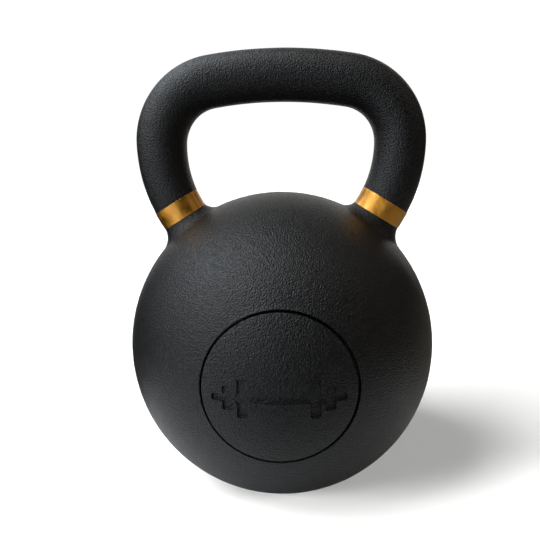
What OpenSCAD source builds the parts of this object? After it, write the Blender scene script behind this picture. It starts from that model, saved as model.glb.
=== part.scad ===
// Cast iron kettlebell: one casting, a round name plate let into its front,
// and a coloured film band round the foot of each horn.
// Millimetres. The bell stands on z = 0 and its front faces -Y.
// The handle lies in the XZ plane.

/* [Ball] */
// Diameter of the ball
ball_d = 230; // [190:1:276]
// Diameter of the flat that the ball stands on
base_d = 98; // [60:1:120]

/* [Handle] */
// Overall height of the bell
height = 322; // [300:1:400]
// Outside width of the handle
handle_w = 214; // [180:1:260]
// Diameter of the handle bar
handle_d = 38; // [28:0.5:46]
// Bend radius of the handle's corners, to the middle of the bar
corner_r = 44.5; // [36:0.5:54]
// Radius of the slight arch along the top of the handle, to the middle of the bar
arch_r = 315; // [150:5:800]
// Radius of the fillet where a horn meets the ball
fillet_r = 9; // [5:0.5:12]

/* [Front plate] */
// Diameter of the front plate
plate_d = 97.5; // [70:0.5:120]
// Thickness of the front plate at its rim
plate_t = 5; // [3:0.5:8]
// Gap between the front plate and the wall of its recess
plate_gap = 1.3; // [0.5:0.1:2]
// Thickness of the adhesive pad behind the front plate
pad_t = 0.5; // [0.3:0.1:1]
// How far the adhesive pad stays inside the rim of the front plate
pad_margin = 3; // [1:0.5:8]

/* [Barbell sign] */
// Length of the sign's bar, from end to end
sign_l = 84; // [50:1:88]
// Thickness of the sign's bar
sign_bar = 4.6; // [3:0.2:7]
// Heights of the sign's discs, from the inner one outwards
sign_heights = [25, 16]; // [8:1:36]
// Width of each of the sign's discs
sign_disc = 6.6; // [4:0.2:9]
// Gap between two discs of the sign
sign_space = 2.6; // [1:0.2:5]
// Length of bar that shows outside the last disc
sign_end = 7; // [3:0.5:12]
// Depth of the sign below the face of the plate
sign_depth = 1.4; // [0.5:0.1:2.5]
// How far the sign sits below the middle of the plate
sign_drop = 3.5; // [0:0.5:10]

/* [Colour bands] */
// Width of the film
band_w = 13; // [6:0.5:20]
// Thickness of the film
band_t = 0.25; // [0.15:0.05:0.6]
// Height of the film's middle above the ball, along the horn
band_rise = 12.5; // [8:0.5:30]

/* [Hidden] */
$fn = 96;

// The arch and the sides of the handle are this much slimmer than its corners,
// and run into them by the lap, so that the stretches join without a grazing face
joint_step = 0.1;
joint_lap = 2.5;
// The fillet is let in by this much, so that its faces cross the others and don't graze them
fillet_sink = 0.4;
// Length of horn foot that lies inside the ball
foot_depth = 14;
// How far a cutting shape runs past the faces that it cuts
over = 10;

ball_r = ball_d / 2;
corner_bar_r = handle_d / 2;
bar_r = corner_bar_r - joint_step;
plate_r = plate_d / 2;

// Height of the ball's centre over the floor
ball_z = sqrt(pow(ball_r, 2) - pow(base_d / 2, 2));

// Handle line, with the ball's centre as its origin and angles from the horizontal.
// The arch over the top turns by arch_a, the corners turn the rest of the way to upright.
line_x = handle_w / 2 - corner_bar_r;
line_top = height - bar_r - ball_z;
arch_a = asin((line_x - corner_r) / (arch_r - corner_r));
corner_x = line_x - corner_r;
corner_z = line_top - (arch_r - corner_r) * (1 - cos(arch_a)) - corner_r;

// Each side is one arc that leaves the corner upright and meets the ball square
side_r = (pow(line_x, 2) + pow(corner_z, 2) - pow(ball_r, 2)) / (2 * line_x);
side_x = line_x - side_r;
side_far = norm([side_x, corner_z]);
foot_a = 180 + asin(side_r / side_far) - atan2(corner_z, side_x);

// Fillet at the horn's foot: its centre, seen from the line between ball centre and horn
flare_x = bar_r + fillet_r - fillet_sink;
flare_far = ball_r + fillet_r - fillet_sink;
flare_a = asin(flare_x / flare_far);
flare_z = flare_far * cos(flare_a);
foot_z = ball_r - foot_depth;

// Front plate: y of its recess floor and of its back face, from the ball's centre
rim_y = sqrt(pow(ball_r, 2) - pow(plate_r, 2));
plate_back = rim_y - plate_t;
recess_floor = plate_back - pad_t;

// Sign: middle of its outermost discs, and the step from one disc to the next
sign_outer_x = (sign_l - sign_disc) / 2 - sign_end;
sign_pitch = sign_disc + sign_space;

// Bands: place on the side arc and the plane that their edges are parallel to
band_a = foot_a - turn(band_rise, side_r);
band_square_a = band_a + turn(band_w / 2, side_r);

module at_ball() {
    translate([0, 0, ball_z]) children();
}

// A stretch of round bar bent in the XZ plane about (cx, cz), from slope a0 to slope a1
module bend(cx, cz, bend_r, a0, a1, bar) {
    translate([cx, 0, cz])
        rotate([90, 0, 0])
            rotate([0, 0, 90 - a1])
                rotate_extrude(angle = a1 - a0)
                    translate([bend_r, 0])
                        circle(r = bar);
}

// The angle that a length along an arc turns through
function turn(along, arc_r) = along / arc_r * 180 / PI;

module arch() {
    arch_end = arch_a + turn(joint_lap, arch_r);
    bend(0, line_top - arch_r, arch_r, -arch_end, arch_end, bar_r);
}

module corner(grow = 0) {
    bend(corner_x, corner_z, corner_r, arch_a, 90, corner_bar_r + grow);
}

module side_arc(grow = 0) {
    bend(side_x, corner_z, side_r, 90 - turn(joint_lap, side_r), foot_a, bar_r + grow);
}

// Flared foot of a horn, turned about the line from the ball's centre
module horn_foot(grow = 0) {
    flare = fillet_r - grow;
    rotate([0, foot_a - 90, 0])
        rotate_extrude()
            difference() {
                translate([0, foot_z])
                    square([(ball_r - fillet_sink) * sin(flare_a), flare_z - foot_z]);
                translate([flare_x, flare_z])
                    circle(r = flare);
            }
}

// One side of the handle, from the end of the arch down into the ball
module handle_side(grow = 0) {
    corner(grow);
    side_arc(grow);
    horn_foot(grow);
}

module handle() {
    arch();
    for (side = [0, 1])
        mirror([side, 0, 0])
            handle_side();
}

// The ball, turned so that no seam crosses the recess or the flat
module ball(r) {
    rotate([90, 0, 0])
        sphere(r = r);
}

// Upright disc that faces the front, from y = -back outwards
module front_disc(r, back, front) {
    translate([0, -back, 0])
        rotate([90, 0, 0])
            cylinder(h = front - back, r = r);
}

module bell_casting() {
    color("#1f2123")
        at_ball()
            difference() {
                union() {
                    ball(ball_r);
                    handle();
                }
                translate([0, 0, -ball_z - ball_r])
                    cube([2 * ball_r, 2 * ball_r, 2 * ball_r], center = true);
                front_disc(plate_r + plate_gap, recess_floor, ball_r + over);
            }
}

module sign_outline() {
    square([sign_l, sign_bar], center = true);
    for (side = [-1, 1], i = [0 : len(sign_heights) - 1])
        translate([side * (sign_outer_x - (len(sign_heights) - 1 - i) * sign_pitch), 0])
            square([sign_disc, sign_heights[i]], center = true);
}

module front_plate() {
    color("#1c1e20")
        at_ball()
            difference() {
                intersection() {
                    front_disc(plate_r, plate_back, ball_r + over);
                    ball(ball_r);
                }
                difference() {
                    translate([0, -plate_back, -sign_drop])
                        rotate([90, 0, 0])
                            linear_extrude(ball_r)
                                sign_outline();
                    ball(ball_r - sign_depth);
                }
            }
}

module plate_adhesive() {
    color("#3a3a38")
        at_ball()
            front_disc(plate_r - pad_margin, recess_floor, plate_back);
}

// Film wrapped round the foot of the horn on the +X side
module band() {
    band_x = side_x + side_r * sin(band_a);
    band_z = corner_z + side_r * cos(band_a);
    at_ball()
        difference() {
            intersection() {
                handle_side(band_t);
                translate([band_x, 0, band_z])
                    rotate([0, band_square_a - 90, 0])
                        cube([2 * handle_d, 2 * handle_d, band_w], center = true);
            }
            handle_side();
            ball(ball_r);
        }
}

module left_band() {
    color("#c8962c")
        mirror([1, 0, 0])
            band();
}

module right_band() {
    color("#c8962c")
        band();
}

bell_casting();
front_plate();
plate_adhesive();
left_band();
right_band();
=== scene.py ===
import math

import bmesh
import bpy
import numpy as np
from bpy.props import FloatProperty, PointerProperty, StringProperty
from mathutils import Matrix, Vector, noise
from mathutils.geometry import delaunay_2d_cdt


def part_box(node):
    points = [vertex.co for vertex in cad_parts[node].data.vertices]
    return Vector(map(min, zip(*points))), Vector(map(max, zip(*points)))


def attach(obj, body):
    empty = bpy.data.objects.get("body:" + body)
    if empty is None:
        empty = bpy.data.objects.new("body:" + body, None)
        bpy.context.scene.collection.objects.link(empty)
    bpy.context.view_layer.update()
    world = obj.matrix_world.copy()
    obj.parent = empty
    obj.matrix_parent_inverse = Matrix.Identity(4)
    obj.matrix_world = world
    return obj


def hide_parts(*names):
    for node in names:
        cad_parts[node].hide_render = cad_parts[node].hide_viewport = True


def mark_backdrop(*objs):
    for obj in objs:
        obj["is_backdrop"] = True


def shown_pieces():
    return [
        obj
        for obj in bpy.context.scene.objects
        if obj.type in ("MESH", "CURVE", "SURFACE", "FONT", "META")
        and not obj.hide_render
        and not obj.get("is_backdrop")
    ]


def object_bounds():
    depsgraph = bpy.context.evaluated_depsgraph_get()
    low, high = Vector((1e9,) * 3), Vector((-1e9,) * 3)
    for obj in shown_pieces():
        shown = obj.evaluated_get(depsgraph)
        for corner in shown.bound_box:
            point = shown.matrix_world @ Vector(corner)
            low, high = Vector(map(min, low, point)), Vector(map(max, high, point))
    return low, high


bl_info = {
    "name": "Kettlebell",
    "version": (1, 0, 0),
    "blender": (4, 5, 0),
    "location": "3D View > Sidebar > Kettlebell",
    "description": "Builds a cast iron kettlebell round its fixed frame, with its finishes and a studio",
    "category": "Add Mesh",
}

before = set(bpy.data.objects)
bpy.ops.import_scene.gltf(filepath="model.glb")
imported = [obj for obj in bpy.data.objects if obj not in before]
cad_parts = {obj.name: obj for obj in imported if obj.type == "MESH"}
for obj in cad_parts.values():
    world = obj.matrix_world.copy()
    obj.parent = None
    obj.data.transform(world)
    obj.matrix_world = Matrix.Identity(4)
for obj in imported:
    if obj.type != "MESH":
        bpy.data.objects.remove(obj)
CAD_LOW, CAD_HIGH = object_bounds()
PLATE_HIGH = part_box("front_plate")[1]
PAD_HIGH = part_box("plate_adhesive")[1]
BODY = "root"

MM = 0.001
TURN = 2 * math.pi

# Share of the way to the corner's end at which a horn starts to change its thickness
TAPER_START = 0.8


# ---------------------------------------------------------------- sizes and colours

def length(name, description, default, low=0.0):
    """A length in metres, shown in the scene's unit."""
    return FloatProperty(name=name, description=description, default=default, min=low,
                         unit="LENGTH", precision=5)


def angle(name, description, degrees):
    return FloatProperty(name=name, description=description, default=math.radians(degrees),
                         unit="ROTATION")


def hex_colour(name, description, default):
    return StringProperty(name=name, description=description + ", as an sRGB hex value",
                          default=default, maxlen=7)


class KettlebellCastingSizes(bpy.types.PropertyGroup):
    ball_r: length("Ball radius", "Radius of the ball",
                   min(-CAD_LOW.x, CAD_HIGH.x))
    base_r: length("Base radius", "Radius of the flat that the bell stands on", 0.049)
    base_round: length("Base rounding", "Rounding between the flat and the ball", 0.004)
    height: length("Height", "Overall height of the bell", CAD_HIGH.z)
    handle_w: length("Handle width", "Outside width of the handle", 0.214)
    bar_r: length("Bar radius", "Radius of the handle bar", 0.0189)
    horn_bar_r: length("Horn radius", "Radius of the bar at the foot of a horn", 0.0188)
    corner_r: length("Corner radius", "Bend radius of the handle's corners, to the bar's middle", 0.0445)
    arch_r: length("Arch radius", "Radius of the arch over the top, to the bar's middle", 0.315)
    fillet_out: length("Outer fillet", "Fillet between horn and ball on the outside", 0.0103)
    fillet_in: length("Inner fillet", "Fillet between horn and ball on the window side", 0.0075)
    ground_off: length("Ground off the left horn",
                       "How much the left horn is slimmer from hand grinding", 0.0010)
    unevenness: length("Unevenness", "Depth of the slow waves of the sand casting", 0.00016)
    unevenness_width: length("Unevenness width", "Distance from one wave to the next", 0.034)
    point_spacing: length("Point spacing", "Distance between the points of the ball's skin", 0.0026)


class KettlebellPlateSizes(bpy.types.PropertyGroup):
    gap: length("Gap", "Gap between the plate and the wall of its recess", 0.0013)
    aside: length("Sideways play", "How far the plate was bonded off the middle of its recess", 0.0004)
    lip_round: length("Lip rounding", "Rounding of the recess's lip", 0.0006)
    rim_round: length("Rim rounding", "Rounding of the plate's rim", 0.0006)
    sign_l: length("Sign length", "Length of the barbell sign", 0.084)
    sign_bar: length("Sign bar", "Thickness of the sign's bar", 0.0046)
    sign_disc: length("Sign disc", "Width of each disc of the sign", 0.0066)
    sign_space: length("Sign space", "Gap between two discs of the sign", 0.0026)
    sign_end: length("Sign end", "Length of bar outside the last disc", 0.007)
    sign_inner_h: length("Inner disc height", "Height of the sign's inner discs", 0.025)
    sign_outer_h: length("Outer disc height", "Height of the sign's outer discs", 0.016)
    sign_depth: length("Sign depth", "Depth of the sign below the plate's face", 0.0014)
    sign_drop: length("Sign drop", "How far the sign sits below the plate's middle", 0.0035)
    sign_round: length("Sign corners", "Radius of the sign's corners, seen from the front", 0.0012)
    edge_round: length("Sign edge", "Rounding where the face turns into the sign's wall", 0.0002)
    floor_round: length("Sign floor rounding", "Fillet between the sign's wall and floor", 0.0002)


class KettlebellBandSizes(bpy.types.PropertyGroup):
    low: length("Lower edge", "Distance of the lower edge's plane from the ball's centre", 0.1201)
    high: length("Upper edge", "Distance of the upper edge's plane from the ball's centre", 0.1334)
    slope: angle("Slope", "Angle between the band's edges and the horizontal", 31.3)
    thickness: length("Thickness", "Thickness of the film", 0.0002)
    glue: length("Glue", "Thickness of the glue under the film", 0.00004)
    overlap: angle("Overlap", "Angle over which the film's two ends lie on each other", 22)


class KettlebellColours(bpy.types.PropertyGroup):
    coat: hex_colour("Powder coat", "Colour of the casting's coat", "#0D0E0F")
    plate_coat: hex_colour("Plate coat", "Colour of the front plate's coat", "#0D0E0F")
    film: hex_colour("Film", "Colour of the metallised film", "#F4AC36")
    foam: hex_colour("Foam", "Colour of the adhesive foam", "#4B4A47")
    paper: hex_colour("Studio paper", "Colour of the floor", "#F4F4F3")


GROUPS = {
    "kettlebell_casting": KettlebellCastingSizes,
    "kettlebell_plate": KettlebellPlateSizes,
    "kettlebell_bands": KettlebellBandSizes,
    "kettlebell_colours": KettlebellColours,
}


# ---------------------------------------------------------------- handle line and casting surface

class Bell:
    """The bell's own geometry, with the ball's centre as its origin. Arrays hold x, y, z in columns."""

    def __init__(self, sizes):
        self.sizes = sizes
        self.r = sizes.ball_r
        self.centre_z = math.sqrt(self.r ** 2 - sizes.base_r ** 2)
        line_x = sizes.handle_w / 2 - sizes.bar_r
        self.line_top = sizes.height - sizes.bar_r - self.centre_z
        self.arch_a = math.asin((line_x - sizes.corner_r) / (sizes.arch_r - sizes.corner_r))
        corner_x = line_x - sizes.corner_r
        arch_drop = (sizes.arch_r - sizes.corner_r) * (1 - math.cos(self.arch_a))
        corner_z = self.line_top - arch_drop - sizes.corner_r
        side_r = (line_x ** 2 + corner_z ** 2 - self.r ** 2) / (2 * line_x)
        side_x = line_x - side_r
        side_far = math.hypot(side_x, corner_z)
        self.foot_a = math.pi + math.asin(side_r / side_far) - math.atan2(corner_z, side_x)
        # each arc: centre x, centre z, radius, first and last slope
        self.arcs = [
            (0.0, self.line_top - sizes.arch_r, sizes.arch_r, 0.0, self.arch_a),
            (corner_x, corner_z, sizes.corner_r, self.arch_a, math.pi / 2),
            (side_x, corner_z, side_r, math.pi / 2, self.foot_a),
        ]
        self.half_length = sum(r * (a1 - a0) for _, _, r, a0, a1 in self.arcs)
        self.corner_end = self.half_length - side_r * (self.foot_a - math.pi / 2)

    def line(self, s):
        """Middle of the bar, its outward normal and its radius at a length s from the top.
        Lengths to the left are negative."""
        side = -1.0 if s < 0 else 1.0
        left = abs(s)
        for cx, cz, r, a0, a1 in self.arcs:
            span = r * (a1 - a0)
            if left <= span or a1 == self.foot_a:
                a = a0 + left / r
                break
            left -= span
        normal = np.array([side * math.sin(a), 0.0, math.cos(a)])
        middle = np.array([side * (cx + r * math.sin(a)), 0.0, cz + r * math.cos(a)])
        bar, shift = self.bar_at(s)
        return middle + shift * normal, normal, bar

    def bar_at(self, s):
        """Bar radius, and how far the bar's middle is shifted outwards, at a length s from the top."""
        sizes = self.sizes
        start = TAPER_START * self.corner_end
        t = np.clip((np.abs(s) - start) / (self.half_length - start), 0, 1)
        t = t * t * (3 - 2 * t)
        ground = sizes.ground_off * t * (np.asarray(s) < 0)
        bar = sizes.bar_r + (sizes.horn_bar_r - sizes.bar_r) * t - ground
        return bar, ground

    def distance_to_line(self, p):
        """Distance of points from the handle's surface, and the outward share of that direction."""
        x, y, z = np.abs(p[:, 0]), p[:, 1], p[:, 2]
        best = np.full(len(p), np.inf)
        outward = np.zeros(len(p))
        run = 0.0
        for cx, cz, r, a0, a1 in self.arcs:
            a = np.clip(np.arctan2(x - cx, z - cz), a0, a1)
            bar, shift = self.bar_at(np.sign(p[:, 0] + 1e-12) * (run + r * (a - a0)))
            mx = cx + (r + shift) * np.sin(a)
            mz = cz + (r + shift) * np.cos(a)
            far = np.sqrt((x - mx) ** 2 + (z - mz) ** 2 + y ** 2)
            along = (x - mx) * np.sin(a) + (z - mz) * np.cos(a)
            nearer = far - bar < best
            best = np.where(nearer, far - bar, best)
            outward = np.where(nearer, along / np.maximum(far, 1e-9), outward)
            run += r * (a1 - a0)
        return best, outward

    def field(self, p):
        """Distance of points from the casting's skin, with the rolled fillet between ball and horns."""
        ball = np.linalg.norm(p, axis=1) - self.r
        bar, outward = self.distance_to_line(p)
        sizes = self.sizes
        k = (sizes.fillet_out + sizes.fillet_in) / 2 + (sizes.fillet_out - sizes.fillet_in) / 2 * outward
        rolled = np.hypot(np.maximum(k - ball, 0), np.maximum(k - bar, 0))
        return np.maximum(k, np.minimum(ball, bar)) - rolled

    def gradient(self, p):
        step = 0.02 * MM
        return np.column_stack([
            (self.field(p + step * axis) - self.field(p - step * axis)) / (2 * step)
            for axis in np.eye(3)])

    def settle(self, p, level=0.0):
        """Moves points along the field's gradient until they lie that far outside the skin."""
        p = p.copy()
        for _ in range(12):
            g = self.gradient(p)
            p -= g * ((self.field(p) - level) / np.maximum((g ** 2).sum(1), 1e-6))[:, None]
        return p

    def shoot(self, start, direction, level, reach):
        """Points at which rays from inside the bar leave the skin, or a level outside it."""
        low, high = np.zeros(len(direction)), np.full(len(direction), reach)
        for _ in range(40):
            middle = (low + high) / 2
            inside = self.field(start + direction * middle[:, None]) < level
            low, high = np.where(inside, middle, low), np.where(inside, high, middle)
        return start + direction * low[:, None]

    def lift(self, p):
        """From the ball's centre to the frame's origin."""
        return p + np.array([0.0, 0.0, self.centre_z])


# ---------------------------------------------------------------- mesh helpers

class Skin:
    """Points and faces of one mesh, added ring by ring."""

    def __init__(self):
        self.points = []
        self.faces = []

    def add(self, points):
        first = len(self.points)
        self.points.extend(map(tuple, points))
        return list(range(first, len(self.points)))

    def bridge(self, ring_a, ring_b):
        """Quads between two closed rings of as many points."""
        n = len(ring_a)
        for i in range(n):
            j = (i + 1) % n
            self.faces.append((ring_a[i], ring_a[j], ring_b[j], ring_b[i]))

    def bridge_all(self, rings):
        for ring_a, ring_b in zip(rings, rings[1:]):
            self.bridge(ring_a, ring_b)

    def cap(self, ring, centre):
        """Closes a ring with a fan about a new point."""
        middle = self.add([centre])[0]
        n = len(ring)
        for i in range(n):
            self.faces.append((ring[i], ring[(i + 1) % n], middle))

    def object(self, name, material, flow=None):
        """Makes the mesh object, with outward normals, smooth shading and a ride on the body."""
        points = np.array(self.points)
        mesh = bpy.data.meshes.new(name)
        mesh.from_pydata(points.tolist(), [], self.faces)
        mesh.validate()
        bm = bmesh.new()
        bm.from_mesh(mesh)
        bmesh.ops.recalc_face_normals(bm, faces=bm.faces)
        if bm.calc_volume(signed=True) < 0:
            bmesh.ops.reverse_faces(bm, faces=bm.faces)
        open_edges = [e for e in bm.edges if len(e.link_faces) != 2]
        if open_edges:
            raise RuntimeError(f"{name} isn't closed: {len(open_edges)} open edges")
        bm.to_mesh(mesh)
        bm.free()
        mesh.shade_smooth()
        mesh.materials.append(material)
        piece = bpy.data.objects.new(name, mesh)
        bpy.context.scene.collection.objects.link(piece)
        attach(piece, BODY)
        return piece


def circle(n, start=0.0):
    """Cosines and sines of n steps round a full turn."""
    a = start + TURN * np.arange(n) / n
    return np.cos(a), np.sin(a)


def ring_about_y(n, radius, y):
    c, s = circle(n)
    return np.column_stack([radius * c, np.full(n, y), radius * s])


def ring_about_z(n, radius, z):
    c, s = circle(n)
    return np.column_stack([radius * c, radius * s, np.full(n, z)])


def quarter(steps):
    """Angles of a quarter turn in that many steps."""
    return [math.pi / 2 * i / steps for i in range(steps + 1)]


def inside_loop(points, loop):
    """Which points lie inside a closed 2-D loop."""
    inside = np.zeros(len(points), bool)
    x, y = points[:, 0], points[:, 1]
    for (x0, y0), (x1, y1) in zip(loop, np.roll(loop, -1, axis=0)):
        if y0 == y1:
            continue
        crosses = (y0 > y) != (y1 > y)
        inside ^= crosses & (x < (x1 - x0) * (y - y0) / (y1 - y0) + x0)
    return inside


def hex_grid(reach, spacing):
    rows = int(reach / (spacing * math.sqrt(3) / 2)) + 1
    columns = int(reach / spacing) + 1
    return np.array([
        ((i + 0.5 * (j % 2)) * spacing, j * spacing * math.sqrt(3) / 2)
        for j in range(-rows, rows + 1) for i in range(-columns, columns + 1)])


def clear_of(points, loop, gap):
    """Which points stay at least a gap away from the loop's own points."""
    far = np.full(len(points), np.inf)
    for q in loop:
        far = np.minimum(far, np.hypot(points[:, 0] - q[0], points[:, 1] - q[1]))
    return far > gap


def triangulate(loops, loose):
    """Triangles over loops and loose points in 2-D, with every loop's edges kept."""
    points, edges = [], []
    for loop in loops:
        first = len(points)
        n = len(loop)
        points.extend(loop)
        edges.extend((first + i, first + (i + 1) % n) for i in range(n))
    points.extend(loose)
    coords = [Vector((float(x), float(y))) for x, y in points]
    _, _, triangles, origins, _, _ = delaunay_2d_cdt(coords, edges, [], 0, 1e-9, True)
    if any(len(o) != 1 for o in origins):
        raise RuntimeError("the triangulation added or joined points")
    back = [o[0] for o in origins]
    return np.array([[back[i] for i in t] for t in triangles])


def unevenness(bell, points):
    """Slow waves of the sand mould, inwards only, gone at the flat base."""
    sizes = bell.sizes
    scale = 1 / sizes.unevenness_width
    out = points.copy()
    normal = bell.gradient(points)
    normal /= np.maximum(np.linalg.norm(normal, axis=1), 1e-9)[:, None]
    fade = np.clip((points[:, 2] + bell.centre_z) / (12 * MM), 0, 1)
    for i, p in enumerate(points):
        wave = 0.7 * noise.noise(Vector(p) * scale) + 0.3 * noise.noise(Vector(p) * scale * 2.3)
        out[i] -= normal[i] * sizes.unevenness * fade[i] * min(max(0.5 + wave, 0), 1)
    return out


# ---------------------------------------------------------------- casting

FRONT_STEPS = 160
BASE_STEPS = 128
BAR_STEPS = 72


def foot_ring(bell, side, half_angle):
    """Ring on the ball round the foot of a horn, in step with the bar's own rings."""
    a = bell.foot_a - math.pi / 2
    axis = np.array([side * math.sin(a), 0, math.cos(a)])
    outward = np.array([side * math.cos(a), 0, -math.sin(a)])
    c, s = circle(BAR_STEPS)
    across = c[:, None] * outward + s[:, None] * np.array([0, 1.0, 0])
    return bell.r * (math.cos(half_angle) * axis + math.sin(half_angle) * across)


def bar_ring(bell, s):
    middle, normal, bar = bell.line(s)
    c, sn = circle(BAR_STEPS)
    return middle + bar * (c[:, None] * normal + sn[:, None] * np.array([0, 1.0, 0]))


def handle_rings(bell, feet):
    """The bar from the left foot over the top to the right foot, with its fillets."""
    rise = 15 * MM
    spacing = 2.0 * MM
    blend_steps = 18
    end = bell.half_length - rise
    stations = np.linspace(-end, end, int(2 * end / spacing) + 1)
    rings = [bar_ring(bell, s) for s in stations]
    blends = []
    for side, ring in ((-1, rings[0]), (1, rings[-1])):
        foot = feet[side]
        between = [ring + (foot - ring) * t for t in np.linspace(0, 1, blend_steps + 2)[1:-1]]
        blends.append([bell.settle(b) for b in between])
    return blends[0][::-1] + rings + blends[1]


def ball_skin(bell, loops):
    """Evenly spread points on the ball outside its rings, and the triangles between them."""
    r = bell.r
    count = int(4 * math.pi * r ** 2 / (math.sqrt(3) / 2 * bell.sizes.point_spacing ** 2))
    i = np.arange(count) + 0.5
    height = 1 - 2 * i / count
    turn = math.pi * (1 + math.sqrt(5)) * i
    across = np.sqrt(1 - height ** 2)
    seeds = np.column_stack([across * np.cos(turn), height, across * np.sin(turn)])
    caps = []
    for loop in loops:
        axis = loop.mean(0) / np.linalg.norm(loop.mean(0))
        caps.append((axis, math.acos((loop @ axis).mean() / r)))
    for axis, half in caps:
        away = np.arccos(np.clip(seeds @ axis, -1, 1))
        seeds = seeds[away > half + 0.55 * bell.sizes.point_spacing / r]

    def flatten(p):
        """Looks from the front of the ball onto the plane behind it, which keeps circles round."""
        d = p / np.linalg.norm(p, axis=1)[:, None]
        return np.column_stack([d[:, 0], d[:, 2]]) / (1 + d[:, 1])[:, None]

    triangles = triangulate([flatten(loop) for loop in loops], flatten(seeds))
    points = np.vstack(loops + [seeds * r])
    middle = points[triangles].mean(1)
    middle /= np.linalg.norm(middle, axis=1)[:, None]
    keep = np.ones(len(triangles), bool)
    for axis, half in caps:
        keep &= middle @ axis < math.cos(half)
    return points, triangles[keep]


def base_rings(bell):
    """From the ball over the base's rounding to near the middle of the flat."""
    sizes = bell.sizes
    rho = sizes.base_round
    z = rho - bell.centre_z
    x = math.sqrt((bell.r - rho) ** 2 - z ** 2)
    start = math.atan2(x, -z)
    steps = 6
    rings = []
    for i in range(steps + 1):
        a = start * (1 - i / steps)
        rings.append(ring_about_z(BASE_STEPS, x + rho * math.sin(a), z - rho * math.cos(a)))
    for share in (0.8, 0.5, 0.2):
        rings.append(ring_about_z(BASE_STEPS, x * share, -bell.centre_z))
    return rings


def recess_rings(bell, plate):
    """From the ball over the recess's lip, down its wall and in over its floor."""
    wall = PLATE_HIGH.x + plate.gap
    lip = plate.lip_round
    floor_y = PAD_HIGH.y + 0.02 * MM
    y = -math.sqrt((bell.r - lip) ** 2 - (wall + lip) ** 2)
    start = math.atan2(wall + lip, -y)
    steps = 5
    rings = []
    for i in range(steps + 1):
        a = start + (-math.pi / 2 - start) * i / steps
        rings.append(ring_about_y(FRONT_STEPS, wall + lip + lip * math.sin(a), y - lip * math.cos(a)))
    root = 0.8 * MM
    for a in quarter(4):
        rings.append(ring_about_y(FRONT_STEPS, wall - root * (1 - math.cos(a)),
                                  floor_y - root * (1 - math.sin(a))))
    for share in (0.8, 0.5, 0.2):
        rings.append(ring_about_y(FRONT_STEPS, wall * share, floor_y))
    return rings


def casting_skin(bell, plate):
    half = math.radians(14.5)
    feet = {side: foot_ring(bell, side, half) for side in (-1, 1)}
    base = base_rings(bell)
    recess = recess_rings(bell, plate)
    skin = Skin()
    points, triangles = ball_skin(bell, [recess[0], base[0], feet[-1], feet[1]])
    handle = handle_rings(bell, feet)
    counts = [len(recess[0]), len(base[0]), len(feet[-1]), len(feet[1])]
    first = np.cumsum([0] + counts)

    skin.add(bell.lift(unevenness(bell, points)))
    skin.faces.extend(tuple(int(i) for i in t) for t in triangles)
    edges = [list(range(first[i], first[i + 1])) for i in range(4)]
    inner = [skin.add(bell.lift(ring)) for ring in recess[1:]]
    skin.bridge_all([edges[0]] + inner)
    skin.cap(inner[-1], bell.lift(np.array([0, recess[-1][0, 1], 0])))
    inner = [skin.add(bell.lift(ring)) for ring in base[1:]]
    skin.bridge_all([edges[1]] + inner)
    skin.cap(inner[-1], (0, 0, 0))
    bars = [skin.add(bell.lift(unevenness(bell, ring))) for ring in handle]
    skin.bridge_all([edges[2]] + bars + [edges[3]])
    return skin


class KETTLEBELL_OT_casting(bpy.types.Operator):
    """Cast iron bell in one piece: ball, horns and handle, with the recess for the front plate"""
    bl_idname = "kettlebell.casting"
    bl_label = "Bell casting"
    bl_options = {"REGISTER", "UNDO"}

    def execute(self, context):
        scene = context.scene
        bell = Bell(scene.kettlebell_casting)
        skin = casting_skin(bell, scene.kettlebell_plate)
        material = powder_coated_iron("Powder coated cast iron", scene.kettlebell_colours.coat)
        piece = skin.object("casting", material)
        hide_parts("bell_casting")
        return {"FINISHED"}


# ---------------------------------------------------------------- front plate

def sign_corners(plate):
    """Corners of the barbell sign, anticlockwise from the right end of its bar, about its own middle."""
    end = plate.sign_l / 2
    bar = plate.sign_bar / 2
    outer_right = end - plate.sign_end
    outer_left = outer_right - plate.sign_disc
    inner_right = outer_left - plate.sign_space
    inner_left = inner_right - plate.sign_disc
    outer, inner = plate.sign_outer_h / 2, plate.sign_inner_h / 2
    upper_right = [
        (end, bar), (outer_right, bar), (outer_right, outer), (outer_left, outer), (outer_left, bar),
        (inner_right, bar), (inner_right, inner), (inner_left, inner), (inner_left, bar),
    ]
    upper_left = [(-x, z) for x, z in reversed(upper_right)]
    upper = upper_right + upper_left
    return upper + [(x, -z) for x, z in reversed(upper)]


def sign_loop(plate, grow):
    """The sign's outline with round corners, moved outwards by grow."""
    corners = np.array(sign_corners(plate))
    arcs = []
    for before, corner, after in zip(np.roll(corners, 1, 0), corners, np.roll(corners, -1, 0)):
        a = (corner - before) / np.linalg.norm(corner - before)
        b = (after - corner) / np.linalg.norm(after - corner)
        turn = a[0] * b[1] - a[1] * b[0]
        middle = corner + plate.sign_round * (b - a)
        radius = plate.sign_round + grow * turn
        arcs.append([middle + radius * (a * math.sin(t) - b * math.cos(t)) for t in quarter(4)])
    loop = []
    for arc, following, straight in zip(arcs, arcs[1:] + arcs[:1], np.roll(corners, -1, 0) - corners):
        loop += arc
        count = int(np.linalg.norm(straight) / (1.3 * MM))
        loop += [arc[-1] + (following[0] - arc[-1]) * i / count for i in range(1, count)]
    return np.array(loop) - np.array([0, plate.sign_drop])


def sign_levels(plate):
    """Offset and depth of the loops down the sign's wall, from the face to the floor."""
    edge, root = plate.edge_round, plate.floor_round
    draft = 0.15 * MM
    levels = [(2.2 * edge, 0.0)]
    levels += [(edge * (1 - math.sin(a)), edge * (1 - math.cos(a))) for a in quarter(4)]
    levels += [(-draft - root * (1 - math.cos(a)), plate.sign_depth - root * (1 - math.sin(a)))
               for a in quarter(4)]
    levels.append((-draft - 2 * root, plate.sign_depth))
    return levels


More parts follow.
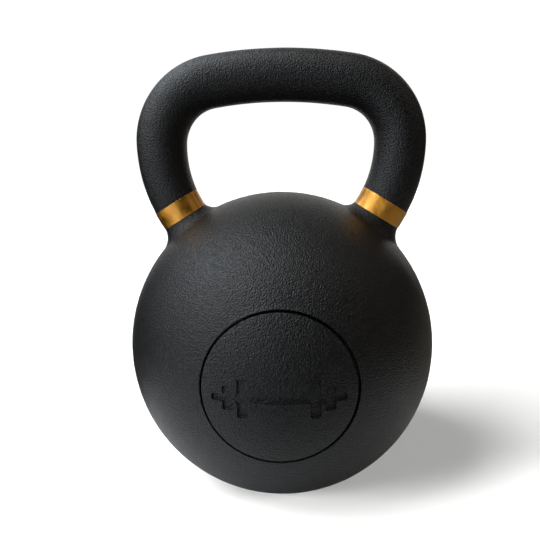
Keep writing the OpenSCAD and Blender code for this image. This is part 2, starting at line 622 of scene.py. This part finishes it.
def plate_skin(bell, plate):
    r = bell.r
    rim_r = PLATE_HIGH.x
    rho = plate.rim_round
    back_y = PLATE_HIGH.y

    def dome(loop, depth=0.0):
        """Puts a front view's points on the ball's face, or a depth below it."""
        x, z = loop[:, 0], loop[:, 1]
        return np.column_stack([x, -np.sqrt((r - depth) ** 2 - x ** 2 - z ** 2), z])

    y = -math.sqrt((r - rho) ** 2 - (rim_r - rho) ** 2)
    start = math.atan2(rim_r - rho, -y)
    steps = 5
    rim = []
    for i in range(steps + 1):
        a = start + (math.pi / 2 - start) * i / steps
        rim.append(ring_about_y(FRONT_STEPS, rim_r - rho + rho * math.sin(a), y - rho * math.cos(a)))
    chamfer = 0.4 * MM
    rim.append(ring_about_y(FRONT_STEPS, rim_r, back_y - chamfer))
    for share in (1.0, 0.8, 0.5, 0.2):
        radius = (rim_r - chamfer) * share
        rim.append(ring_about_y(FRONT_STEPS, radius, back_y))

    loops = [sign_loop(plate, grow) for grow, _ in sign_levels(plate)]
    walls = [dome(loop, depth) for loop, (_, depth) in zip(loops, sign_levels(plate))]
    spacing = 2.2 * MM
    outer = rim[0][:, [0, 2]]
    grid = hex_grid(rim_r, spacing)
    reach = np.hypot(grid[:, 0], grid[:, 1])
    face = grid[(reach < np.hypot(*outer[0]) - 0.6 * spacing)
                & ~inside_loop(grid, loops[0]) & clear_of(grid, loops[0], 0.55 * spacing)]
    face_triangles = triangulate([outer, loops[0]], face)
    fine = hex_grid(rim_r, 0.7 * spacing)
    floor = fine[inside_loop(fine, loops[-1]) & clear_of(fine, loops[-1], 0.4 * spacing)]
    floor_triangles = triangulate([loops[-1]], floor)

    skin = Skin()
    rings = [skin.add(bell.lift(ring)) for ring in rim]
    skin.bridge_all(rings)
    skin.cap(rings[-1], bell.lift(np.array([0, back_y, 0])))
    wall_rings = [skin.add(bell.lift(ring)) for ring in walls]
    skin.bridge_all(wall_rings)
    face_points = np.vstack([outer, loops[0], face])
    for ring_ids, loose, triangles, flat, holes, depth in (
        (rings[0] + wall_rings[0], face, face_triangles, face_points, [loops[0]], 0.0),
        (wall_rings[-1], floor, floor_triangles, np.vstack([loops[-1], floor]), [], plate.sign_depth),
    ):
        middle = flat[triangles].mean(1)
        keep = inside_loop(middle, outer if holes else loops[-1])
        for hole in holes:
            keep &= ~inside_loop(middle, hole)
        ids = ring_ids + skin.add(bell.lift(dome(loose, depth)))
        skin.faces.extend(tuple(ids[i] for i in t) for t in triangles[keep])
    return skin


class KETTLEBELL_OT_front_plate(bpy.types.Operator):
    """Round front plate, flush with the ball, with a plain barbell sunk into its face"""
    bl_idname = "kettlebell.front_plate"
    bl_label = "Front plate"
    bl_options = {"REGISTER", "UNDO"}

    def execute(self, context):
        scene = context.scene
        skin = plate_skin(Bell(scene.kettlebell_casting), scene.kettlebell_plate)
        material = powder_coated_iron("Powder coated front plate", scene.kettlebell_colours.plate_coat)
        skin.points = [(x - scene.kettlebell_plate.aside, y, z) for x, y, z in skin.points]
        piece = skin.object("nameplate", material)
        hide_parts("front_plate")
        return {"FINISHED"}


class KETTLEBELL_OT_plate_adhesive(bpy.types.Operator):
    """Finish of the foam pad that holds the front plate"""
    bl_idname = "kettlebell.plate_adhesive"
    bl_label = "Plate adhesive"
    bl_options = {"REGISTER", "UNDO"}

    def execute(self, context):
        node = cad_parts["plate_adhesive"]
        material = acrylic_foam("Acrylic foam", context.scene.kettlebell_colours.foam)
        node.data.materials.clear()
        node.data.materials.append(material)
        return {"FINISHED"}


# ---------------------------------------------------------------- bands

BAND_STEPS = 180
BAND_ROWS = 9
# Where the film's two ends meet, round the horn from its outside, and the length of the lap's step
BAND_SEAM = math.radians(108)
LAP_STEP = math.radians(1.2)
# How far the cut edges lean in, and where the turned edge starts, as shares of their neighbours
EDGE_LEAN = 0.3
EDGE_TURN = 0.06
# Reach of the rays that find the horn's skin from inside the bar
HORN_REACH = 45 * MM


def band_skin(bell, bands, side):
    """A thin closed shell that follows the horn and its fillet between two parallel planes."""
    up = np.array([side * math.sin(bands.slope), 0, math.cos(bands.slope)])
    out = np.array([side * math.cos(bands.slope), 0, -math.sin(bands.slope)])
    c, s = circle(BAND_STEPS)
    spokes = c[:, None] * out + s[:, None] * np.array([0, 1.0, 0])
    # the film's two ends lie on each other at the back, turned a little towards the window
    turn = (TURN * np.arange(BAND_STEPS) / BAND_STEPS - BAND_SEAM) % TURN
    lap = np.clip((bands.overlap / 2 - np.abs((turn + math.pi) % TURN - math.pi)) / LAP_STEP, 0, 1)
    skin = Skin()
    inner, outer = [], []
    for share in np.linspace(0, 1, BAND_ROWS):
        height = bands.low + (bands.high - bands.low) * share
        middle = line_at_height(bell, up, height, side)
        inner.append(bell.shoot(middle, spokes, bands.glue * 0.5, HORN_REACH))
        level = bands.glue + bands.thickness * (1 + lap)
        outer.append(bell.shoot(middle, spokes, level, HORN_REACH))
    # the cut edges are slightly broken
    for rim in (0, -1):
        outer[rim] = outer[rim] + (inner[rim] - outer[rim]) * EDGE_LEAN
    soft_low = outer[0] + (outer[1] - outer[0]) * EDGE_TURN
    soft_high = outer[-1] + (outer[-2] - outer[-1]) * EDGE_TURN
    rings = [inner[i] for i in range(BAND_ROWS - 1, -1, -1)]
    rings += [outer[0], soft_low] + outer[1:-1] + [soft_high, outer[-1]]
    ids = [skin.add(bell.lift(ring)) for ring in rings]
    skin.bridge_all(ids + [ids[0]])
    return skin


def line_at_height(bell, up, height, side):
    """Middle of the bar where the handle's line crosses a plane that far from the ball's centre."""
    low, high = TAPER_START * bell.corner_end, bell.half_length + 10 * MM
    for _ in range(40):
        s = (low + high) / 2
        middle, _, _ = bell.line(side * s)
        if middle @ up > height:
            low = s
        else:
            high = s
    return middle


class KETTLEBELL_OT_bands(bpy.types.Operator):
    """Bands of metallised film round the foot of each horn"""
    bl_idname = "kettlebell.bands"
    bl_label = "Colour bands"
    bl_options = {"REGISTER", "UNDO"}

    def execute(self, context):
        scene = context.scene
        bell = Bell(scene.kettlebell_casting)
        material = metallised_film("Metallised vinyl film", scene.kettlebell_colours.film)
        for side, name in ((-1, "left_band"), (1, "right_band")):
            skin = band_skin(bell, scene.kettlebell_bands, side)
            piece = skin.object(name.replace("band", "film"), material)
            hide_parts(name)
        return {"FINISHED"}


# ---------------------------------------------------------------- materials

def linear(hex_value):
    """Linear RGBA of an sRGB hex colour."""
    parts = [int(hex_value[i:i + 2], 16) / 255 for i in (1, 3, 5)]
    return tuple(c / 12.92 if c <= 0.04045 else ((c + 0.055) / 1.055) ** 2.4 for c in parts) + (1.0,)


def shade(colour, factor):
    return tuple(c * factor for c in colour[:3]) + (1.0,)


def add_node(tree, kind, settings=None, values=None, links=None):
    """Adds a node with its settings, its sockets' values and the links into its sockets."""
    node = tree.nodes.new(kind)
    for name, value in (settings or {}).items():
        setattr(node, name, value)
    for socket, value in (values or {}).items():
        node.inputs[socket].default_value = value
    for socket, source in (links or {}).items():
        tree.links.new(source, node.inputs[socket])
    return node


def new_material(name):
    material = bpy.data.materials.new(name)
    material.use_nodes = True
    material.node_tree.nodes.clear()
    return material, material.node_tree


def per_metre(millimetres):
    """Scale of a pattern whose marks are that many millimetres apart."""
    return 1000.0 / millimetres


def powder_coated_iron(name, colour):
    """Polyester powder, sprayed on shot-blasted iron and baked: a satin black skin whose fine
    pebbles break up the light, over the slow waves of the casting below it."""
    material, tree = new_material(name)
    base = linear(colour)
    place = add_node(tree, "ShaderNodeTexCoord").outputs["Object"]
    pebble = add_node(tree, "ShaderNodeTexNoise", values={"Scale": per_metre(1.0), "Detail": 0.0},
                      links={"Vector": place})
    # such coats have a grain of about 0.3 mm: it is drawn at 0.6 mm, the finest that shows
    grain = add_node(tree, "ShaderNodeTexNoise", values={"Scale": per_metre(0.6), "Detail": 0.0},
                     links={"Vector": place})
    # the grains' lighter and darker base colour is partly the powder's own flecks and partly painted
    # glints, standing in for the sparkle of light on the grains
    flecks_and_glints = add_node(tree, "ShaderNodeMapRange", values={"From Min": 0.38, "From Max": 0.68},
                       links={"Value": grain.outputs["Fac"]})
    flow = add_node(tree, "ShaderNodeTexNoise", values={"Scale": per_metre(16), "Detail": 2.0},
                    links={"Vector": place})
    patch = add_node(tree, "ShaderNodeTexNoise", values={"Scale": per_metre(60), "Detail": 3.0,
                     "Roughness": 0.6}, links={"Vector": place})
    height = add_node(tree, "ShaderNodeMath", {"operation": "MULTIPLY_ADD"}, {1: 0.55},
                      {0: grain.outputs["Fac"], 2: pebble.outputs["Fac"]})
    bump = add_node(tree, "ShaderNodeBump", values={"Strength": 1.0, "Distance": 0.00055},
                    links={"Height": height.outputs[0]})
    waves = add_node(tree, "ShaderNodeBump", values={"Strength": 0.35, "Distance": 0.0006},
                     links={"Height": flow.outputs["Fac"], "Normal": bump.outputs["Normal"]})
    rough = add_node(tree, "ShaderNodeMapRange", values={"From Min": 0.35, "From Max": 0.65,
                     "To Min": 0.29, "To Max": 0.35}, links={"Value": patch.outputs["Fac"]})
    # base colour between dark and light grains: partly real flecks, partly painted glints
    tint = add_node(tree, "ShaderNodeMix", {"data_type": "RGBA"},
                    {6: shade(base, 0.3), 7: shade(base, 2.6)}, {0: flecks_and_glints.outputs[0]})
    shader = add_node(tree, "ShaderNodeBsdfPrincipled", values={"IOR": 1.5},
                      links={"Base Color": tint.outputs[2], "Roughness": rough.outputs[0],
                             "Normal": waves.outputs["Normal"]})
    add_node(tree, "ShaderNodeOutputMaterial", links={"Surface": shader.outputs[0]})
    return material


def metallised_film(name, colour):
    """Aluminium vapour under a clear amber vinyl, rolled on by hand: gold that mirrors the lights
    softly and breaks up in small creases, with the vinyl's own pale gloss at its turned edges."""
    material, tree = new_material(name)
    base = linear(colour)
    place = add_node(tree, "ShaderNodeTexCoord").outputs["Object"]
    crease = add_node(tree, "ShaderNodeTexNoise", {"noise_type": "RIDGED_MULTIFRACTAL"},
                      {"Scale": per_metre(6), "Detail": 3.0, "Roughness": 0.6}, {"Vector": place})
    orange_peel = add_node(tree, "ShaderNodeTexNoise", values={"Scale": per_metre(2.6), "Detail": 2.0},
                           links={"Vector": place})
    patch = add_node(tree, "ShaderNodeTexNoise", values={"Scale": per_metre(7), "Detail": 3.0},
                     links={"Vector": place})
    height = add_node(tree, "ShaderNodeMath", {"operation": "MULTIPLY_ADD"}, {1: 0.35},
                      {0: orange_peel.outputs["Fac"], 2: crease.outputs["Fac"]})
    bump = add_node(tree, "ShaderNodeBump", values={"Strength": 1.0, "Distance": 0.0004},
                    links={"Height": height.outputs[0]})
    rough = add_node(tree, "ShaderNodeMapRange", values={"From Min": 0.3, "From Max": 0.7,
                     "To Min": 0.30, "To Max": 0.50}, links={"Value": patch.outputs["Fac"]})
    tint = add_node(tree, "ShaderNodeMix", {"data_type": "RGBA"},
                    {6: shade(base, 0.85), 7: shade(base, 1.1)}, {0: patch.outputs["Fac"]})
    shader = add_node(tree, "ShaderNodeBsdfPrincipled",
                      values={"Metallic": 1.0, "Coat Weight": 1.0, "Coat Roughness": 0.25,
                              "Coat IOR": 1.5},
                      links={"Base Color": tint.outputs[2], "Roughness": rough.outputs[0],
                             "Normal": bump.outputs["Normal"]})
    add_node(tree, "ShaderNodeOutputMaterial", links={"Surface": shader.outputs[0]})
    return material


def acrylic_foam(name, colour):
    """Closed-cell acrylic foam, cast as a sheet: dull grey with fine pores at its cut edge."""
    material, tree = new_material(name)
    base = linear(colour)
    place = add_node(tree, "ShaderNodeTexCoord").outputs["Object"]
    pores = add_node(tree, "ShaderNodeTexVoronoi", values={"Scale": per_metre(0.5)},
                     links={"Vector": place})
    # the pores' darker centres are painted shade in the pits that the bump below sinks there
    tint = add_node(tree, "ShaderNodeMix", {"data_type": "RGBA"}, {6: shade(base, 0.6), 7: base},
                    {0: pores.outputs["Distance"]})
    bump = add_node(tree, "ShaderNodeBump", values={"Strength": 0.5, "Distance": 0.0002},
                    links={"Height": pores.outputs["Distance"]})
    shader = add_node(tree, "ShaderNodeBsdfPrincipled", values={"IOR": 1.47, "Roughness": 0.85},
                      links={"Base Color": tint.outputs[2], "Normal": bump.outputs["Normal"]})
    add_node(tree, "ShaderNodeOutputMaterial", links={"Surface": shader.outputs[0]})
    return material


def studio_paper(name, colour):
    """Seamless white paper: matt, with a hardly visible tooth."""
    material, tree = new_material(name)
    base = linear(colour)
    place = add_node(tree, "ShaderNodeTexCoord").outputs["Object"]
    tooth = add_node(tree, "ShaderNodeTexNoise", values={"Scale": per_metre(4), "Detail": 3.0},
                     links={"Vector": place})
    bump = add_node(tree, "ShaderNodeBump", values={"Strength": 0.1, "Distance": 0.0001},
                    links={"Height": tooth.outputs["Fac"]})
    shader = add_node(tree, "ShaderNodeBsdfPrincipled", values={"Base Color": base, "Roughness": 0.9},
                      links={"Normal": bump.outputs["Normal"]})
    add_node(tree, "ShaderNodeOutputMaterial", links={"Surface": shader.outputs[0]})
    return material


def lit_backdrop(name, strength):
    """Evenly lit white cloth behind everything."""
    material, tree = new_material(name)
    glow = add_node(tree, "ShaderNodeEmission", values={"Color": (1, 1, 1, 1), "Strength": strength})
    add_node(tree, "ShaderNodeOutputMaterial", links={"Surface": glow.outputs[0]})
    return material


# ---------------------------------------------------------------- studio

# The camera: its lens and sensor in mm, its turn in degrees, and its place in ball radii
# from the ball's centre
LENS, SENSOR = 40, 36
HEADING, PITCH, ROLL = -1.6906, 10.907, 0.552
CAMERA_PLACE = (0.0415, -3.9579, 1.2414)

# Height that the softboxes aim at
AIM_HEIGHT = 0.16
# Half the width of the floor, and how deep the hidden sheets lie under it
FLOOR_HALF = 4
BOUNCE_DEPTH, REFLECTOR_DEPTH = 0.004, 0.002
# Where the hidden sheets lie: two x and two y
BOUNCE_SHEET = (0.14, FLOOR_HALF), (-FLOOR_HALF, FLOOR_HALF)
REFLECTOR_SHEET = (-0.3, 0.28), (-0.17, 0.06)
BACKDROP_R, BACKDROP_GLOW = 9.0, 1.05
AIR_COLOUR, AIR_GLOW = "#FFF4EA", 0.025


def camera_turn(heading, pitch, roll):
    """Camera axes in the scene for a heading off +Y, a pitch down and a roll."""
    forward = Vector((math.sin(heading) * math.cos(pitch), math.cos(heading) * math.cos(pitch),
                      -math.sin(pitch)))
    right = Vector((math.cos(heading), -math.sin(heading), 0))
    down = forward.cross(right)
    right, down = (math.cos(roll) * right + math.sin(roll) * down,
                   -math.sin(roll) * right + math.cos(roll) * down)
    return Matrix((right, -down, -forward)).transposed()


def add_camera(scene, bell):
    data = bpy.data.cameras.new("Camera")
    data.sensor_width = SENSOR
    data.lens = LENS
    camera = bpy.data.objects.new("Camera", data)
    scene.collection.objects.link(camera)
    turn = camera_turn(math.radians(HEADING), math.radians(PITCH), math.radians(ROLL))
    place = Vector(CAMERA_PLACE) * bell.r + Vector((0, 0, bell.centre_z))
    camera.matrix_world = Matrix.Translation(place) @ turn.to_4x4()
    scene.camera = camera


def round_about(azimuth, elevation, distance):
    """A place round the bell: azimuth 0 is in front of it and 90 on its right, in degrees."""
    a, e = math.radians(azimuth), math.radians(elevation)
    return (distance * math.sin(a) * math.cos(e), -distance * math.cos(a) * math.cos(e),
            distance * math.sin(e))


def floor_lamp(scene, name, seen_at, spread, share, lit):
    """A wide far lamp that lights white paper to a share of full white."""
    azimuth, elevation = seen_at
    towards = Vector(round_about(azimuth, elevation, 1.0))
    data = bpy.data.lights.new(name, "SUN")
    data.energy = share * math.pi / towards.z
    data.angle = math.radians(spread)
    light = bpy.data.objects.new(name, data)
    scene.collection.objects.link(light)
    light.rotation_mode = "QUATERNION"
    light.rotation_quaternion = (-towards).to_track_quat("-Z", "Y")
    light.light_linking.receiver_collection = lit


def sheet_of_paper(scene, name, material, x, y):
    """A sheet of paper that lies level with the bell's base, between two x and two y."""
    mesh = bpy.data.meshes.new(name)
    corners = [(x[0], y[0], 0), (x[1], y[0], 0), (x[1], y[1], 0), (x[0], y[1], 0)]
    mesh.from_pydata(corners, [], [(0, 1, 2, 3)])
    mesh.materials.append(material)
    sheet = bpy.data.objects.new(name, mesh)
    scene.collection.objects.link(sheet)
    return sheet


def softbox(scene, name, width, height, seen_at, radiance, colour, lit):
    """A rectangular softbox that faces the bell, as powerful as its size and brightness make it."""
    aim = Vector((0, 0, AIM_HEIGHT))
    place = aim + Vector(round_about(*seen_at))
    data = bpy.data.lights.new(name, "AREA")
    data.shape = "RECTANGLE"
    data.size, data.size_y = width, height
    data.energy = radiance * math.pi * width * height
    data.color = linear(colour)[:3]
    light = bpy.data.objects.new(name, data)
    scene.collection.objects.link(light)
    light.location = place
    light.rotation_mode = "QUATERNION"
    light.rotation_quaternion = (aim - place).to_track_quat("-Z", "Y")
    light.visible_camera = False
    light.light_linking.receiver_collection = lit


class KETTLEBELL_OT_studio(bpy.types.Operator):
    """Pale floor, white backdrop, soft lights and the camera"""
    bl_idname = "kettlebell.studio"
    bl_label = "Studio"
    bl_options = {"REGISTER", "UNDO"}

    def execute(self, context):
        scene = context.scene
        bell = Bell(scene.kettlebell_casting)
        paper = studio_paper("Seamless paper", scene.kettlebell_colours.paper)
        shaded = studio_paper("Shaded paper", "#8F897F")
        # only the floor is seen; the bounce and the reflector are hidden and light the bell from
        # below, so the floor and the bell have lamps of their own
        floor_span = (-FLOOR_HALF, FLOOR_HALF)
        floor = sheet_of_paper(scene, "studio_floor", paper, floor_span, floor_span)
        bounce = sheet_of_paper(scene, "studio_bounce", shaded, *BOUNCE_SHEET)
        reflector = sheet_of_paper(scene, "studio_reflector", paper, *REFLECTOR_SHEET)
        floor.visible_diffuse = False
        floor.visible_glossy = False
        floor.visible_shadow = False
        for hidden, depth in ((bounce, BOUNCE_DEPTH), (reflector, REFLECTOR_DEPTH)):
            hidden.location.z = -depth
            hidden.visible_camera = False
            hidden.visible_shadow = False

        bm = bmesh.new()
        bmesh.ops.create_icosphere(bm, subdivisions=4, radius=BACKDROP_R)
        dome_mesh = bpy.data.meshes.new("studio_backdrop")
        bm.to_mesh(dome_mesh)
        bm.free()
        dome_mesh.materials.append(lit_backdrop("Lit backdrop", BACKDROP_GLOW))
        dome = bpy.data.objects.new("studio_backdrop", dome_mesh)
        scene.collection.objects.link(dome)
        dome.visible_diffuse = False
        dome.visible_glossy = False
        dome.visible_transmission = False
        dome.visible_shadow = False
        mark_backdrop(floor, bounce, reflector, dome)

        world = bpy.data.worlds.new("Studio air")
        scene.world = world
        world.use_nodes = True
        air = world.node_tree.nodes["Background"]
        air.inputs["Color"].default_value = linear(AIR_COLOUR)
        air.inputs["Strength"].default_value = AIR_GLOW

        only_bell = bpy.data.collections.new("Lit by the softboxes")
        for lit in [bounce, reflector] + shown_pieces():
            only_bell.objects.link(lit)
        only_floor = bpy.data.collections.new("Lit by the floor lamps")
        only_floor.objects.link(floor)
        # each softbox: width, height, place, brightness, colour
        softbox(scene, "Key", 1.8, 1.0, (-92, 54, 1.3), 2.45, "#F0F8FF", only_bell)
        softbox(scene, "Window", 3.0, 1.6, (-72, 20, 2.2), 1.15, "#F6FAFF", only_bell)
        softbox(scene, "Low window", 2.4, 0.7, (-36, -8, 1.6), 1.2, "#F6FAFF", only_bell)
        softbox(scene, "Front", 1.5, 1.5, (-14, 46, 2.0), 0.7, "#F6FAFF", only_bell)
        softbox(scene, "Top", 2.0, 2.0, (-110, 82, 1.7), 0.65, "#FFFDFA", only_bell)
        softbox(scene, "Back", 2.6, 2.4, (180, 10, 2.2), 0.65, "#FFFDFA", only_bell)
        softbox(scene, "Right", 2.6, 1.2, (92, 36, 2.4), 0.36, "#FFF0DC", only_bell)
        # each floor lamp: place, spread in degrees, share of full white
        floor_lamp(scene, "Floor lamp high left", (-70, 50), 38, 0.92, only_floor)
        floor_lamp(scene, "Floor lamp low left", (-64, 14), 20, 0.42, only_floor)
        floor_lamp(scene, "Floor lamp right", (75, 14), 24, 0.24, only_floor)
        floor_lamp(scene, "Floor lamp front", (-6, 20), 20, 0.15, only_floor)

        add_camera(scene, bell)
        scene.view_settings.view_transform = "Standard"
        return {"FINISHED"}


# ---------------------------------------------------------------- panel and registration

class VIEW3D_PT_kettlebell(bpy.types.Panel):
    """Sizes, colours and pieces of the kettlebell"""
    bl_label = "Kettlebell"
    bl_idname = "VIEW3D_PT_kettlebell"
    bl_space_type = "VIEW_3D"
    bl_region_type = "UI"
    bl_category = "Kettlebell"

    def draw(self, context):
        layout = self.layout
        for group in GROUPS:
            box = layout.box()
            box.label(text=group.replace("kettlebell_", "").capitalize())
            settings = getattr(context.scene, group)
            for name in settings.bl_rna.properties.keys():
                if name not in ("rna_type", "name"):
                    box.prop(settings, name)
        for operator in OPERATORS:
            layout.operator(operator.bl_idname)


OPERATORS = (
    KETTLEBELL_OT_casting,
    KETTLEBELL_OT_front_plate,
    KETTLEBELL_OT_plate_adhesive,
    KETTLEBELL_OT_bands,
    KETTLEBELL_OT_studio,
)


def register():
    for group in GROUPS.values():
        bpy.utils.register_class(group)
    for operator in OPERATORS:
        bpy.utils.register_class(operator)
    bpy.utils.register_class(VIEW3D_PT_kettlebell)
    for name, group in GROUPS.items():
        setattr(bpy.types.Scene, name, PointerProperty(type=group))


def unregister():
    for name in GROUPS:
        delattr(bpy.types.Scene, name)
    bpy.utils.unregister_class(VIEW3D_PT_kettlebell)
    for operator in reversed(OPERATORS):
        bpy.utils.unregister_class(operator)
    for group in reversed(list(GROUPS.values())):
        bpy.utils.unregister_class(group)


def main():
    register()
    bpy.ops.kettlebell.casting()
    bpy.ops.kettlebell.front_plate()
    bpy.ops.kettlebell.plate_adhesive()
    bpy.ops.kettlebell.bands()
    bpy.ops.kettlebell.studio()


if __name__ == "__main__":
    main()
